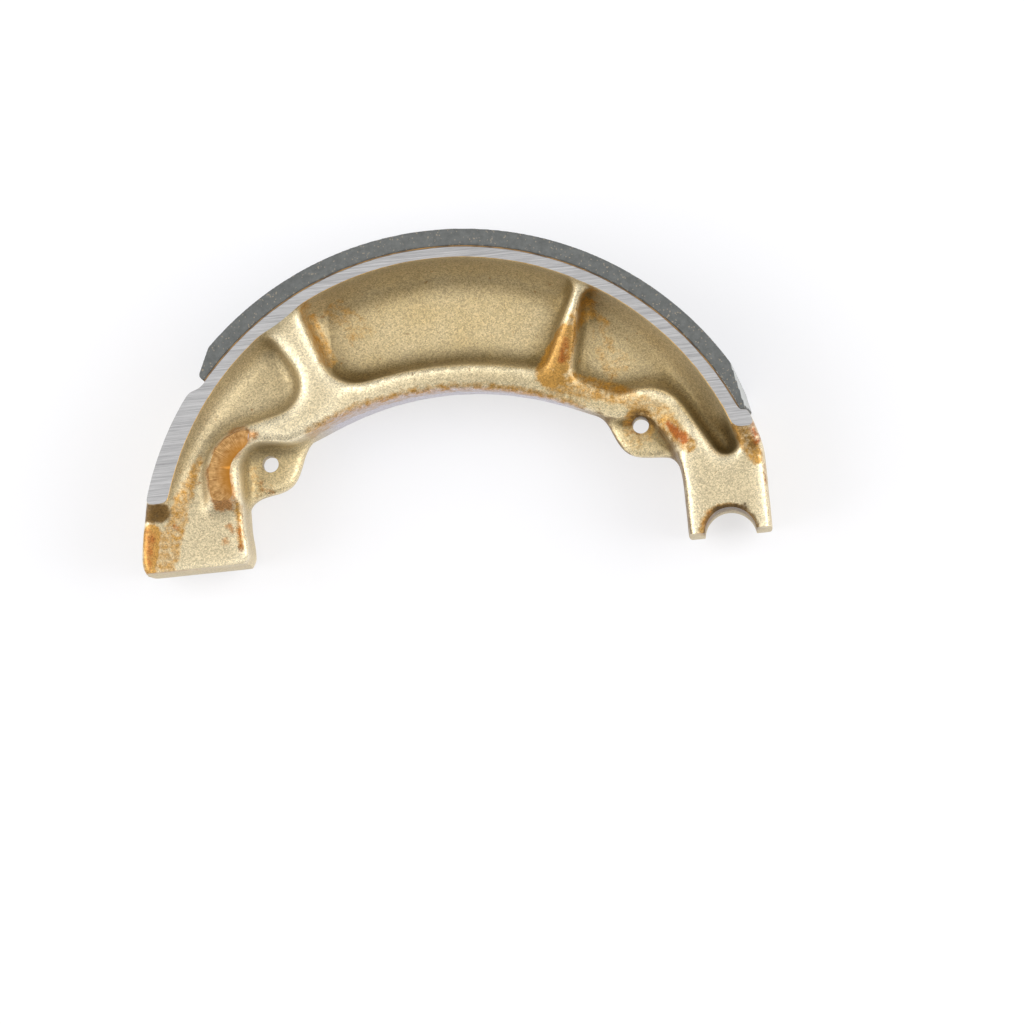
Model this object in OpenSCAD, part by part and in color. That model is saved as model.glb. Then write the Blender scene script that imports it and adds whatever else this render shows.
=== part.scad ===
// Leading or trailing shoe of a small drum brake: a die-cast aluminium shoe with a friction
// lining bonded to its curved table. Millimetres, Z along the brake drum's axis.
// The shoe is drawn about the drum's centre, X toward the anchor pin and Y toward the crown,
// and then moved so that the origin lies on the anchor pin's axis, half way through its width.

/* [Drum and lining] */
// Diameter over the friction lining
lining_d = 129; // [124:0.5:134]
// Thickness of the friction lining
lining_t = 3.3; // [2:0.1:4]
// Thickness of the adhesive film under the lining
film_t = 0.2; // [0.1:0.05:0.3]
// Width of the lining and of the shoe across its ground faces
shoe_w = 28; // [24:1:34]
// Angle at which the lining starts, on the anchor side
lining_from = 22.4; // [21:0.2:26]
// Angle at which the lining ends, on the cam side
lining_to = 139.2; // [134:0.2:139.6]
// Length of the long chamfer on the anchor side of the lining
anchor_chamfer_l = 9.2; // [4:0.2:12]
// Thickness left at the lining's tip on the anchor side
anchor_tip_t = 1.1; // [0.6:0.1:2]
// Extra depth of the anchor chamfer on the upper face, where the cut runs skewed
chamfer_skew = 1.35; // [0:0.05:1.6]
// Length of the short chamfer on the cam side of the lining
cam_chamfer_l = 6.0; // [3:0.2:9]
// Thickness left at the lining's tip on the cam side
cam_tip_t = 1.4; // [0.8:0.1:2]
// Distance that the film stays back from both faces
film_setback = 0.1; // [0.05:0.05:0.4]

/* [Rim] */
// Thickness of the rim under the lining at the crown
rim_t = 2.0; // [1.6:0.1:3]
// How much thicker the rim grows from the crown to its ends
rim_growth = 0.8; // [0.2:0.1:1.2]
// Height of the shoulders at both ends of the lining
shoulder_h = 1.5; // [0.8:0.1:2.5]
// Bare table left between the lining and the cam side shoulder, in degrees
bare_gap = 1.5; // [0.8:0.1:3]

/* [Anchor end] */
// Distance from the drum's centre to the anchor pin's axis
anchor_dist = 52.2; // [50:0.1:54]
// Diameter of the anchor pin
pin_d = 10; // [8:0.5:11]
// Play of the half-round seat on the pin, on the diameter
seat_play = 0.2; // [0.1:0.05:0.5]
// Width of the anchor block
anchor_w = 15.8; // [14:0.2:16]
// Height of the anchor block's end faces above the pin's axis
end_gap = 0.6; // [0.3:0.1:1.2]
// Height at which the ground rim face ends on the anchor side
anchor_rim_y = 20.8; // [19:0.2:22]
// Length of the slope from the rim face down to the anchor block
anchor_slope_l = 6.2; // [3:0.2:7]

/* [Cam end] */
// Height of the flat that the cam pushes on, above the drum's centre
cam_face_y = 4.0; // [3:0.2:6]
// Distance from the drum's centre to the cam block's inner wall
cam_inner_x = 41.6; // [39:0.2:44]
// Distance from the drum's centre to the cam block's outer wall
cam_outer_x = 62.3; // [60:0.1:62.4]
// Height at which the ground rim face ends on the cam side
cam_rim_y = 17.4; // [16:0.2:19]
// Length of the slope from the rim face down to the cam block
cam_slope_l = 3.5; // [1.5:0.1:5]

/* [Relief] */
// Depth of the end blocks' faces below the ground rim face
block_drop = 2.8; // [1:0.1:4]
// Depth of the cast rib tops below the ground rim face
rib_drop = 0.6; // [0.2:0.1:1]
// Thickness of the web at the mid-plane
web_t = 7; // [5:0.5:9]
// Width of the inner rib
rib_w = 4.4; // [3.4:0.2:5.4]
// Radius of the inner rib's edge on the hub side
hub_r = 60; // [56:1:66]
// Height of the inner rib's edge at the crown
hub_y = 33.8; // [31:0.2:35]
// Height of the cam side pocket's floor at its deep end, above the mid-plane
valley_z = 7; // [5:0.5:9]
// Height of the inner rib's top above the mid-plane, where it is lowest
low_rib_z = 6.2; // [5.8:0.2:10]
// Radius of the fillet between the rim and the web
rim_root = 3.6; // [2:0.2:4]

/* [Spring lugs] */
// Diameter of the holes for the return springs' hooks
hole_d = 3.2; // [2.4:0.1:4]
// Height of the spring holes above the drum's centre
hole_y = 23.25; // [22.6:0.05:24]
// Distance of the cam side hole from the drum's centre
cam_hole_x = 35.9; // [35:0.1:37]
// Distance of the anchor side hole from the drum's centre
anchor_hole_x = 36.9; // [36:0.1:38]
// Thickness of the lugs at the mid-plane
lug_t = 5; // [3:0.5:7]
// Radius of the lugs
lug_r = 5.2; // [4.4:0.1:6]

/* [Casting] */
// Draft of the outer walls toward the parting line, in degrees
draft = 1.5; // [0.5:0.25:3]
// Draft of the pocket walls, in degrees
pocket_draft = 3; // [0.5:0.25:4]
// Radius of the fillet round the pocket floors
floor_fillet = 2.2; // [0.6:0.1:2.4]
// Radius on the edges of the ribs
rib_edge = 0.9; // [0.3:0.1:1.2]
// Diameter of the ejector pins' marks on the lower side
ejector_d = 4.9; // [3:0.1:6]
// Depth or height of the ejector pins' marks
ejector_h = 0.3; // [0.1:0.05:0.5]

/* [Hidden] */
$fn = 120;
half_w = shoe_w / 2;
lining_r = lining_d / 2;
bond_r = lining_r - lining_t;
table_r = bond_r - film_t;
shoulder_r = table_r + shoulder_h;
rib_z = half_w - rib_drop;
block_z = half_w - block_drop;
web_z = web_t / 2;
seat_r = (pin_d + seat_play) / 2;
anchor_in_x = anchor_dist - anchor_w / 2;
anchor_out_x = anchor_dist + anchor_w / 2;
// The narrow pocket's tip, where the anchor block's face ends and its slope begins
anchor_pocket_x = anchor_dist + 1.3;
cam_hole = [-cam_hole_x, hole_y];
anchor_hole = [anchor_hole_x, hole_y];
// Largest distance of a chord from the arc that it stands for
chord_error = 0.09;
// Height of cutters above the faces that they open
over = 2;

// The rim's inner edge is one circle whose centre lies above the drum's centre
rim_c = [0, rim_growth];
rim_r = table_r - rim_t - rim_growth;
// How far the pocket cutters reach into the rim, whose own wall closes the pockets
rim_overlap = 0.6;
// The hub side of the inner rib is one circle too
hub_c = [-0.7, hub_y - hub_r];

// Point at radius r and angle a
function polar(r, a) = [r * cos(a), r * sin(a)];
// Disc of radius r inside the rim, at angle a about its centre, that overlaps the rim
function rim_disc(a, r) =
    let (p = rim_c + polar(rim_r + rim_overlap - r, a))
    [p.x, p.y, r];
// Disc of radius r that stands on the inner rib, at angle a about the rib's centre
function rib_disc(a, r, lift = 0.02) =
    let (p = hub_c + polar(hub_r + rib_w + r + lift, a))
    [p.x, p.y, r];

// Angle of the outward normal on the straight run from disc p to disc q
function run_normal(p, q) =
    let (dx = q.x - p.x, dy = q.y - p.y)
    let (c = (p.z - q.z) / norm([dx, dy]))
    atan2(dy, dx) - acos(max(-1, min(1, c)));
// Angle from 0 to 360, where a hair below zero counts as zero
function wrap(a) = let (w = a - 360 * floor(a / 360)) w > 359 ? 0 : w;
// Angle swept on a disc: a convex corner turns left, and a negative radius turns right
function turn(p, a0, a1) = p.z >= 0 ? wrap(a1 - a0) : -wrap(a0 - a1);
function arc_steps(p, sweep) =
    max(1, ceil(abs(sweep) / (2 * acos(1 - chord_error / max(abs(p.z), 0.2)))));
// Outline that runs round a chain of discs like a belt, with arcs on the discs and straight
// runs between them. A disc with a negative radius bends the outline inward. The whole
// outline is moved outward by grow, which adds to every radius and keeps the point count.
function belt(discs, grow = 0) =
    let (n = len(discs))
    [for (i = [0:n - 1])
        let (p = discs[i])
        let (a0 = run_normal(discs[(i + n - 1) % n], p))
        let (a1 = run_normal(p, discs[(i + 1) % n]))
        let (sweep = turn(p, a0, a1), steps = arc_steps(p, sweep))
        for (k = [0:steps]) [p.x, p.y] + polar(p.z + grow, a0 + sweep * k / steps)];

// Solid through rings of equal point count, bottom ring first, each wound to the left
module loft(rings) {
    n = len(rings[0]);
    last = len(rings) - 1;
    points = [for (ring = rings) each ring];
    bottom = [for (i = [0:n - 1]) i];
    top = [for (i = [0:n - 1]) last * n + n - 1 - i];
    sides = [for (k = [0:last - 1]) for (i = [0:n - 1])
        let (a = k * n + i, b = k * n + (i + 1) % n)
        each [[a, a + n, b + n], [a, b + n, b]]];
    polyhedron(points = points, faces = concat([bottom], [top], sides));
}

// Height of a plane that passes z0 at point p0 and climbs by slope along direction a
function plane_z(p, z0, p0, slope, a) = z0 + slope * ((p - p0) * polar(1, a));

// Cutter for a cast pocket: flat floor, filleted foot, drafted wall and rounded top edge.
// The floor is a plane, level unless a slope is given.
module pocket(discs, fillet, z0, p0 = [0, 0], slope = 0, a = 0) {
    depth = rib_z - z0;
    run = depth * tan(pocket_draft);
    foot = [for (t = [0:45:90])
        [fillet * (1 - cos(t)) / depth, -run - fillet * (1 - sin(t))]];
    edge = [for (t = [0:45:90])
        [1 - rib_edge * (1 - sin(t)) / depth, rib_edge * (1 - cos(t))]];
    profile = concat(foot, edge);
    function ring(share, grow) = [for (p = belt(discs, grow))
        let (z = plane_z(p, z0, p0, slope, a))
        [p.x, p.y, z + share * (rib_z - z)]];
    lid = [for (p = belt(discs, rib_edge)) [p.x, p.y, half_w + over]];
    loft(concat([for (s = profile) ring(s[0], s[1])], [lid]));
}

// Solid of an outline that is drafted from the mid-plane to both faces, with rounded edges. It
// runs on past both faces, where another shape ends it.
module drafted(discs, z_top, edge) {
    run = (z_top - edge) * tan(draft);
    rounding = [for (t = [0:45:90]) [z_top - edge * (1 - sin(t)), -edge * (1 - cos(t))]];
    side = concat(rounding, [[z_top + over, -edge]]);
    under = [for (i = [len(side) - 1:-1:0]) [-side[i][0], side[i][1]]];
    profile = concat(under, [[0, run]], side);
    loft([for (s = profile) [for (p = belt(discs, s[1])) [p.x, p.y, s[0]]]]);
}

// Chains of discs for the outlines, all about the drum's centre and wound to the left

// Discs along the rim's inner edge, with a corner of radius r at both ends
function rim_run(from, to, r) =
    [rim_disc(from, r), rim_disc((from + to) / 2, 0.985 * rim_r), rim_disc(to, r)];

// Angles about the rim's centre at which the pockets begin and end along the rim
crown_span = [64.5, 115];
anchor_span = [18, 57];
cam_span = [128.5, 167];
pocket_corner = 3;
cam_corner = 3.2;

crown_pocket = concat(
    rim_run(crown_span[0], crown_span[1], pocket_corner),
    [rib_disc(103, 7), [hub_c.x, hub_c.y, -hub_r - rib_w], rib_disc(74, 3)]);

anchor_rib_c = anchor_hole + [1.6, -0.9];
anchor_pocket = concat(
    rim_run(anchor_span[0], anchor_span[1], pocket_corner),
    [rib_disc(65.4, 3), rib_disc(60, 3.1), [anchor_rib_c.x, anchor_rib_c.y, -7.5]]);

cam_rib_c = cam_hole + [-2.9, -2.1];
valley_foot = cam_rim_y - cam_slope_l;
// The cam side pocket's floor climbs from its deep end to the block's face
valley_deep = [-33, 40];
valley_way = 236;
valley_l = 31;
valley_slope = (block_z - valley_z) / valley_l;
valley_fillet = 1.8;
cam_pocket = concat(
    rim_run(cam_span[0], cam_span[1], cam_corner),
    [[-51.2, valley_foot, 3], [cam_rib_c.x, cam_rib_c.y, -9.2],
     rib_disc(117.4, 6, 1.8)]);

body_corner = 1.4;
// The anchor block's lower corners lie below the cut that makes its end faces plane
block_corner = 1.2;
body_outline = [
    [anchor_out_x - block_corner, end_gap, block_corner],
    [anchor_out_x - 1, lining_r, 1],
    [-cam_outer_x + 1, lining_r, 1],
    [-cam_outer_x + body_corner, cam_face_y + body_corner, body_corner],
    [-cam_inner_x - body_corner, cam_face_y + body_corner, body_corner],
    [cam_hole.x - 0.7, cam_hole.y - 0.9, -4.8],
    [cam_hole.x + 4.5, cam_hole.y + 6.3, 3.2],
    [hub_c.x, hub_c.y, -hub_r],
    [anchor_hole.x - 4.3, anchor_hole.y + 5.1, 3.3],
    [anchor_hole.x, anchor_hole.y - 1, -2.9],
    [anchor_in_x - 16, 11.5, -16],
    [anchor_in_x + block_corner, end_gap, block_corner]];

cam_lug = [
    [-cam_inner_x - 1, 7, 1],
    [-cam_inner_x + 4.4, 12.6, -4.4],
    [cam_hole.x + 0.6, cam_hole.y - 0.6, lug_r],
    [cam_hole.x + 12.1, cam_hole.y - 0.7, -5.5],
    [-20, hub_y + 1, 1],
    [-cam_inner_x - 1, hub_y, 1]];

anchor_lug = [
    [anchor_in_x + 1, hub_y, 1],
    [17, hub_y + 0.6, 1],
    [25.8, 22, -5.2],
    [anchor_hole.x, anchor_hole.y - 1, lug_r],
    [anchor_in_x - 2.8, 13.8, -2.8],
    [anchor_in_x + 1, 9, 1]];

// Copies its children to the other side of the mid-plane
module both_sides() {
    children();
    mirror([0, 0, 1]) children();
}

// Moves its children from the drum's centre to the anchor pin's axis
module to_anchor() {
    translate([-anchor_dist, 0, 0]) children();
}

// Upright prism from a flat outline, centred on the mid-plane
module plate(points, h) {
    linear_extrude(height = h, center = true) polygon(points);
}

// Sector of a tube between two radii and two angles, centred on the mid-plane
module tube_sector(r_in, r_out, from, to, h) {
    reach = r_out * 2;
    intersection() {
        difference() {
            cylinder(r = r_out, h = h, center = true);
            cylinder(r = r_in, h = h + over, center = true);
        }
        plate([[0, 0], polar(reach, from), polar(reach, (2 * from + to) / 3),
               polar(reach, (from + 2 * to) / 3), polar(reach, to)], h + over);
    }
}

// Space inside the rim: its wall is drafted and runs into the web with a large fillet
module rim_inside() {
    foot_r = rim_r - (half_w - web_z - rim_root) * tan(pocket_draft);
    foot = [for (t = [0:15:75])
        [foot_r - rim_root * (1 - cos(t)), web_z + rim_root * (1 - sin(t))]];
    // The fillet's last run goes on below the web's face
    foot_end = [foot_r - rim_root - 1, web_z - 0.4];
    side = concat([[0, half_w + over], [rim_r, half_w + over], [rim_r, half_w]], foot,
                  [foot_end, [0, foot_end.y]]);
    translate(rim_c) both_sides() rotate_extrude() polygon(side);
}

// Ground rim between the table and the pockets, at the full width of the shoe. Below its fillet
// it runs on inside the web by sunk_w.
module rim() {
    sunk_w = 2;
    intersection() {
        difference() {
            cylinder(r = shoulder_r, h = shoe_w, center = true);
            rim_inside();
            translate(rim_c) cylinder(r = rim_r - rim_root - sunk_w, h = shoe_w, center = true);
        }
        translate([-cam_outer_x, cam_face_y + body_corner, -half_w])
            cube([cam_outer_x + anchor_out_x, lining_r, shoe_w]);
    }
}

// Cutter that lowers the inner rib over the crown and round the anchor side hole. It is a
// shallow trough that climbs toward the rim, and it stops at the anchor block's shoulder.
module rib_trough() {
    trough_r = 100;
    trough_tilt = 17.4;
    low_point = [15, hub_y];
    block_shoulder = [anchor_in_x + 1, 18.5];
    shoulder_tilt = 40;
    reach = 4 * lining_r;
    intersection() {
        translate([low_point.x, low_point.y, low_rib_z]) rotate([trough_tilt, 0, 0])
            translate([0, 0, trough_r]) rotate([90, 0, 0])
                cylinder(r = trough_r, h = reach, center = true);
        translate([block_shoulder.x, block_shoulder.y, block_z]) rotate([0, 0, -22])
            rotate([0, -shoulder_tilt, 0])
                translate([-reach, -reach, 0]) cube([2 * reach, 2 * reach, reach]);
    }
}

// Table for the lining: everything outside its radius goes, between the two shoulders
module table_cut() {
    ramp = 1.7;
    from = lining_from - 0.2;
    to = lining_to + bare_gap;
    reach = lining_r * 2;
    difference() {
        plate([[0, 0], polar(reach, from), polar(reach, 60), polar(reach, 100),
               polar(reach, to + 18 * ramp), polar(table_r, to)], shoe_w + over);
        cylinder(r = table_r, h = shoe_w + 2 * over, center = true);
    }
}

// Cutter that lowers an end block's face from x_from to x_to. From x_slope on, a slope of
// length slope_l climbs from the face to the rim face, which it meets at y_top. The cutter
// ends at y_end, past the slope.
module block_cut(x_from, x_slope, x_to, y_top, slope_l, y_end) {
    climb = block_drop / slope_l;
    foot_y = y_top - slope_l;
    reach = lining_r;
    difference() {
        translate([x_from, -reach, block_z]) cube([x_to - x_from, reach + y_end, half_w]);
        translate([x_slope, 0, 0]) rotate([90, 0, 90]) linear_extrude(height = 2 * reach)
            polygon([[foot_y - 1, block_z - climb], [foot_y + reach, block_z - climb],
                     [foot_y + reach, block_z + climb * reach]]);
    }
}

// Cutters that leave the cam's flat and the anchor block's two end faces plane
module end_flats_cut() {
    translate([-2 * lining_r, cam_face_y - lining_r, -shoe_w])
        cube([2 * lining_r, lining_r, 2 * shoe_w]);
    translate([0, end_gap - lining_r, -shoe_w])
        cube([2 * lining_r, lining_r, 2 * shoe_w]);
}

// Slight swelling of the cam block's inner wall below the joint of two die inserts
module nose() {
    nose_h = 5;
    proud = 0.35;
    foot_y = cam_face_y + body_corner + 0.05;
    plate(belt([[-cam_inner_x - 3, foot_y, body_corner],
                [-cam_inner_x + proud - body_corner, foot_y, body_corner],
                [-cam_inner_x + proud - 0.3, cam_face_y + nose_h, 0.3],
                [-cam_inner_x - 3, cam_face_y + nose_h, 0.3]]), shoe_w - 1);
}

// Round marks of the ejector pins on the lower side: pads on the ribs, dents on the blocks.
// The pads are rooted deep in the ribs, whose tops slope under them.
module ejector_pads() {
    for (p = [[-28.6, 50.0], [29.2, 49.8]])
        translate([p.x, p.y, -rib_z - ejector_h]) cylinder(d = ejector_d, h = rib_z / 3);
}

module ejector_dents() {
    for (p = [[-50.3, 11.2], [51.4, 11.6]])
        translate([p.x, p.y, -block_z - 1]) cylinder(d = ejector_d, h = 1 + ejector_h);
}

// Half-round seat on the anchor pin, with its edges broken on both faces
module seat_cut() {
    bevel = 0.5;
    translate([anchor_dist, 0, 0]) {
        cylinder(r = seat_r, h = shoe_w + over, center = true);
        both_sides() translate([0, 0, block_z - bevel])
            cylinder(r1 = seat_r, r2 = seat_r + bevel + 0.1, h = bevel + 0.1);
    }
}

module spring_holes() {
    for (p = [cam_hole, anchor_hole])
        translate(p) cylinder(d = hole_d, h = shoe_w, center = true);
}

// All that is ground, bored or left plane by the die's flat faces
module machined_away() {
    table_cut();
    both_sides() {
        block_cut(-lining_r, -lining_r - 1, 0, cam_rim_y, cam_slope_l, cam_rim_y + 1);
        block_cut(0, anchor_pocket_x, lining_r, anchor_rim_y, anchor_slope_l,
                  anchor_rim_y + 4);
    }
    end_flats_cut();
}

// Body with its ribs at their cast height, lugs and end blocks, but without the pockets
module blank() {
    difference() {
        union() {
            intersection() {
                drafted(body_outline, rib_z, rib_edge);
                cylinder(r = shoulder_r, h = 2 * rib_z, center = true);
            }
            nose();
            plate(belt(cam_lug), lug_t);
            plate(belt(anchor_lug), lug_t);
        }
        machined_away();
        seat_cut();
        spring_holes();
        ejector_dents();
    }
}

module shoe_casting() color([0.78, 0.68, 0.45]) to_anchor() union() {
    difference() {
        blank();
        both_sides() {
            pocket(crown_pocket, floor_fillet, web_z);
            pocket(anchor_pocket, floor_fillet, web_z);
            pocket(cam_pocket, valley_fillet, valley_z, valley_deep, valley_slope, valley_way);
            rib_trough();
        }
    }
    difference() {
        rim();
        machined_away();
    }
    ejector_pads();
}

// Cutter beyond the flat that a chamfer leaves: from the table side point at the lining's tip
// to the outer face. The flat leans by skew between the two faces of the shoe.
module chamfer_cut(tip, start, skew, side) {
    run = start - tip;
    length = norm(run);
    lean = side * atan(skew / shoe_w);
    translate([tip.x, tip.y, half_w]) rotate([0, 0, atan2(run.y, run.x)])
        rotate([lean, 0, 0]) translate([-length, side > 0 ? 0 : -4 * lining_t, -2 * shoe_w])
            cube([4 * length, 4 * lining_t, 3 * shoe_w]);
}

// Point on the lining's outer face at a given length of chamfer from its tip
function chamfer_start(a, tip_t, length, way) =
    let (drop = lining_t - tip_t)
    polar(lining_r, a + way * asin(sqrt(length * length - drop * drop) / lining_r));

module friction_lining() color([0.36, 0.37, 0.37]) to_anchor() difference() {
    tube_sector(bond_r, lining_r, lining_from, lining_to, shoe_w);
    chamfer_cut(polar(bond_r + anchor_tip_t, lining_from),
                chamfer_start(lining_from, anchor_tip_t, anchor_chamfer_l, 1),
                chamfer_skew, -1);
    chamfer_cut(polar(bond_r + cam_tip_t, lining_to),
                chamfer_start(lining_to, cam_tip_t, cam_chamfer_l, -1), 0, 1);
}

module bond_film() color([0.55, 0.38, 0.16]) to_anchor()
    tube_sector(table_r, bond_r, lining_from, lining_to, shoe_w - 2 * film_setback);

shoe_casting();
friction_lining();
bond_film();
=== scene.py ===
import math

import bmesh
import bpy
import numpy as np
from mathutils import Matrix, Vector, noise


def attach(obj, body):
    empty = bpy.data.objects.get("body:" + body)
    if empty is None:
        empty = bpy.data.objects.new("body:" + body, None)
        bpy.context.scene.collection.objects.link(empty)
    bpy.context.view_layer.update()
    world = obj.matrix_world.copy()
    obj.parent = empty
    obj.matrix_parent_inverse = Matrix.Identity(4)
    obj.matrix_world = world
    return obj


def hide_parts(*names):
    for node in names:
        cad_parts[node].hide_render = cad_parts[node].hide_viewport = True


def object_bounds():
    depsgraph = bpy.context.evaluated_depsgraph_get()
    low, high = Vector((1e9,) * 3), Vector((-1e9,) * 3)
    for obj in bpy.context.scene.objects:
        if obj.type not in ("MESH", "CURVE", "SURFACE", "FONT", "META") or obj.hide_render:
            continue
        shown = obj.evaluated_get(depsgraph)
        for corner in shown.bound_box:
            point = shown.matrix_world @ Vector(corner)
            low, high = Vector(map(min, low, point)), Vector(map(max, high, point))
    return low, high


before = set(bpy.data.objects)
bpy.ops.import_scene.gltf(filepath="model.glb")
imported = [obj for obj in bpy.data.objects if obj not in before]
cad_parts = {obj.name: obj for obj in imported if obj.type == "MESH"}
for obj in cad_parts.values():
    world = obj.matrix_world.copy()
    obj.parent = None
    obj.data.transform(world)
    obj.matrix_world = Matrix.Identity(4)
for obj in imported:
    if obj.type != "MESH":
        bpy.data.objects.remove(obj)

cad_box = [list(corner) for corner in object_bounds()]

# Shoe casting. One pressure die-casting in an aluminium-silicon alloy, with its rim, web, ribs,
# lugs and end blocks. It comes out of the die with soft edges, and then both rim faces, the
# anchor seat, the cam's flat and the spring holes are machined, so only those have sharp edges.
mm = 0.001
half_width = 14 * mm
drum_centre = Vector((-52.2, 0, 0)) * mm
rim_inner_centre = drum_centre + Vector((0, 0.8, 0)) * mm
rim_inner_radius = 58.2 * mm
block_face_z = 11.2 * mm
rubbed_face_z = 13.8 * mm
seat_radius = 5.1 * mm
seat_bevel = 0.5 * mm
hole_radius = 1.6 * mm
lug_thickness = 5 * mm
spring_hole_places = [Vector((-88.1, 23.25, 0)) * mm, Vector((-15.3, 23.25, 0)) * mm]
cam_flat_y = 4.0 * mm
anchor_end_y = 0.6 * mm
grinding_stock = 1.2 * mm
boring_stock = 0.3 * mm
drilling_stock = 0.2 * mm
rubbed_arc_centre = Vector((-91.0, 21.15, 0)) * mm
rubbed_inner_radius = 5.0 * mm
rubbed_outer_radius = 8.3 * mm
rubbed_foot = [Vector((-95.5, 16.4, 0)) * mm, Vector((-99.4, 16.6, 0)) * mm]
rubbed_stock_z = (12.0 * mm, 14.8 * mm)
round_segments = 96
parallel = 0.999


def mesh_object(name, shape):
    mesh = bpy.data.meshes.new(name)
    shape.to_mesh(mesh)
    shape.free()
    made = bpy.data.objects.new(name, mesh)
    bpy.context.scene.collection.objects.link(made)
    return made


def apply_modifiers(piece):
    depsgraph = bpy.context.evaluated_depsgraph_get()
    old = piece.data
    piece.data = bpy.data.meshes.new_from_object(piece.evaluated_get(depsgraph))
    piece.modifiers.clear()
    bpy.data.meshes.remove(old)


def merged_copy(node):
    shape = bmesh.new()
    shape.from_mesh(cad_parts[node].data)
    bmesh.ops.remove_doubles(shape, verts=shape.verts, dist=0.002 * mm)
    shape.normal_update()
    return shape


def leave_stock(shape, normal, depth):
    """Raises the flat faces that lie on a plane, as a raw casting stands proud before grinding."""
    way = Vector(normal)
    on_plane = [f for f in shape.faces if f.normal.dot(way) > parallel
                and abs(f.calc_center_median().dot(way) - depth) < 0.02 * mm]
    raised = bmesh.ops.extrude_face_region(shape, geom=on_plane)["geom"]
    corners = [g for g in raised if isinstance(g, bmesh.types.BMVert)]
    bmesh.ops.translate(shape, verts=corners, vec=way * grinding_stock)


def add_post(shape, place, radius, height, segments=round_segments):
    bmesh.ops.create_cone(shape, cap_ends=True, segments=segments, radius1=radius,
                          radius2=radius, depth=height, matrix=Matrix.Translation(place))


def rubbed_outline(grow=0):
    """Crescent round the cam side spring hole, where the rib's top was rubbed flat."""
    inner = [rubbed_arc_centre
             + Vector((math.cos(a), math.sin(a), 0)) * (rubbed_inner_radius - grow)
             for a in np.radians(np.linspace(100, 183, 12))]
    outer = [rubbed_arc_centre
             + Vector((math.cos(a), math.sin(a), 0)) * (rubbed_outer_radius + grow)
             for a in np.radians(np.linspace(185, 88, 14))]
    foot = [rubbed_foot[0] + Vector((grow, -grow, 0)), rubbed_foot[1] + Vector((-grow, -grow, 0))]
    return inner + foot + outer


def add_prism(shape, outline, low, high):
    bottom = [shape.verts.new((p.x, p.y, low)) for p in outline]
    cap = shape.faces.new(bottom)
    walls = bmesh.ops.extrude_face_region(shape, geom=[cap], use_keep_orig=True)["geom"]
    top = [g for g in walls if isinstance(g, bmesh.types.BMVert)]
    bmesh.ops.translate(shape, verts=top, vec=(0, 0, high - low))
    prism = {f for corner in bottom + top for f in corner.link_faces}
    bmesh.ops.recalc_face_normals(shape, faces=list(prism))


raw = merged_copy("shoe_casting")
for side in (1, -1):
    leave_stock(raw, (0, 0, side), half_width)
leave_stock(raw, (0, -1, 0), -cam_flat_y)
leave_stock(raw, (0, -1, 0), -anchor_end_y)
add_post(raw, (0, 0, 0), seat_radius + boring_stock, 2 * block_face_z)
for place in spring_hole_places:
    add_post(raw, place, hole_radius + drilling_stock, lug_thickness)
for side in (1, -1):
    low, high = sorted(side * z for z in rubbed_stock_z)
    add_prism(raw, rubbed_outline(), low, high)
casting = mesh_object("casting", raw)


def remesh(piece, voxel):
    skin = piece.modifiers.new("skin", "REMESH")
    skin.mode = "VOXEL"
    skin.voxel_size = voxel
    apply_modifiers(piece)


def vertex_places(mesh):
    places = np.empty(len(mesh.vertices) * 3, np.float32)
    mesh.vertices.foreach_get("co", places)
    return places.reshape(-1, 3).astype(float)


def vertex_normals(mesh):
    normals = np.empty(len(mesh.vertices) * 3, np.float32)
    mesh.vertex_normals.foreach_get("vector", normals)
    return normals.reshape(-1, 3).astype(float)


def relaxed(mesh, places, rounds, weight=0.5):
    """Places after a number of rounds in which each vertex moves toward its neighbours."""
    edges = np.empty(len(mesh.edges) * 2, np.int32)
    mesh.edges.foreach_get("vertices", edges)
    a, b = edges.reshape(-1, 2).T
    count = np.bincount(edges, minlength=len(places))
    for _ in range(rounds):
        near = np.stack([np.bincount(a, places[b, k], len(places))
                         + np.bincount(b, places[a, k], len(places)) for k in range(3)], 1)
        places = places + weight * (near / count[:, None] - places)
    return places


def move_vertices(mesh, places):
    mesh.vertices.foreach_set("co", places.astype(np.float32).ravel())
    mesh.update()


def ramp(values, start, width):
    """Rises from 0 at the start to 1 a width further on; with a negative width it falls back."""
    return np.clip((values - start) / width, 0, 1)


skin_voxel = 0.5 * mm
remesh(casting, skin_voxel)

# The rim runs into the pockets' floors in a wide hollow curve, deeper at the crown than on the
# cam side, where the floor climbs to the end block. Points inside the curve are lifted onto it,
# and it fades out toward both end blocks.
fillet_width = 5.6 * mm
pocket_floor = 3.5 * mm
rib_top = 13.4 * mm
web_inside = 2 * mm
cam_pocket_bearing = 125
valley_start = Vector((-85.2, 40, 0)) * mm
valley_way = math.radians(236)
valley_floor = 7 * mm
valley_climb = 4.2 / 31
x, y, z = vertex_places(casting.data).T
from_rim = rim_inner_radius - np.hypot(x - rim_inner_centre.x, y - rim_inner_centre.y)
bearing = np.degrees(np.arctan2(y - rim_inner_centre.y, x - rim_inner_centre.x))
along_valley = ((x - valley_start.x) * math.cos(valley_way)
                + (y - valley_start.y) * math.sin(valley_way))
floor_z = np.where(bearing > cam_pocket_bearing, valley_floor + valley_climb * along_valley,
                   pocket_floor)
share = np.clip(1 - from_rim / fillet_width, 0, 1)
fade = np.where(x < drum_centre.x, ramp(y, 15 * mm, 4 * mm), ramp(y, 19 * mm, 5 * mm))
lifted = floor_z + (rib_top - floor_z) * (1 - np.sqrt(1 - share ** 2)) * fade
in_hollow = ((from_rim > 0) & (share > 0) & (fade > 0)
             & (np.abs(z) < lifted) & (np.abs(z) > web_inside))
z = np.where(in_hollow, np.sign(z) * lifted, z)
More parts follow.
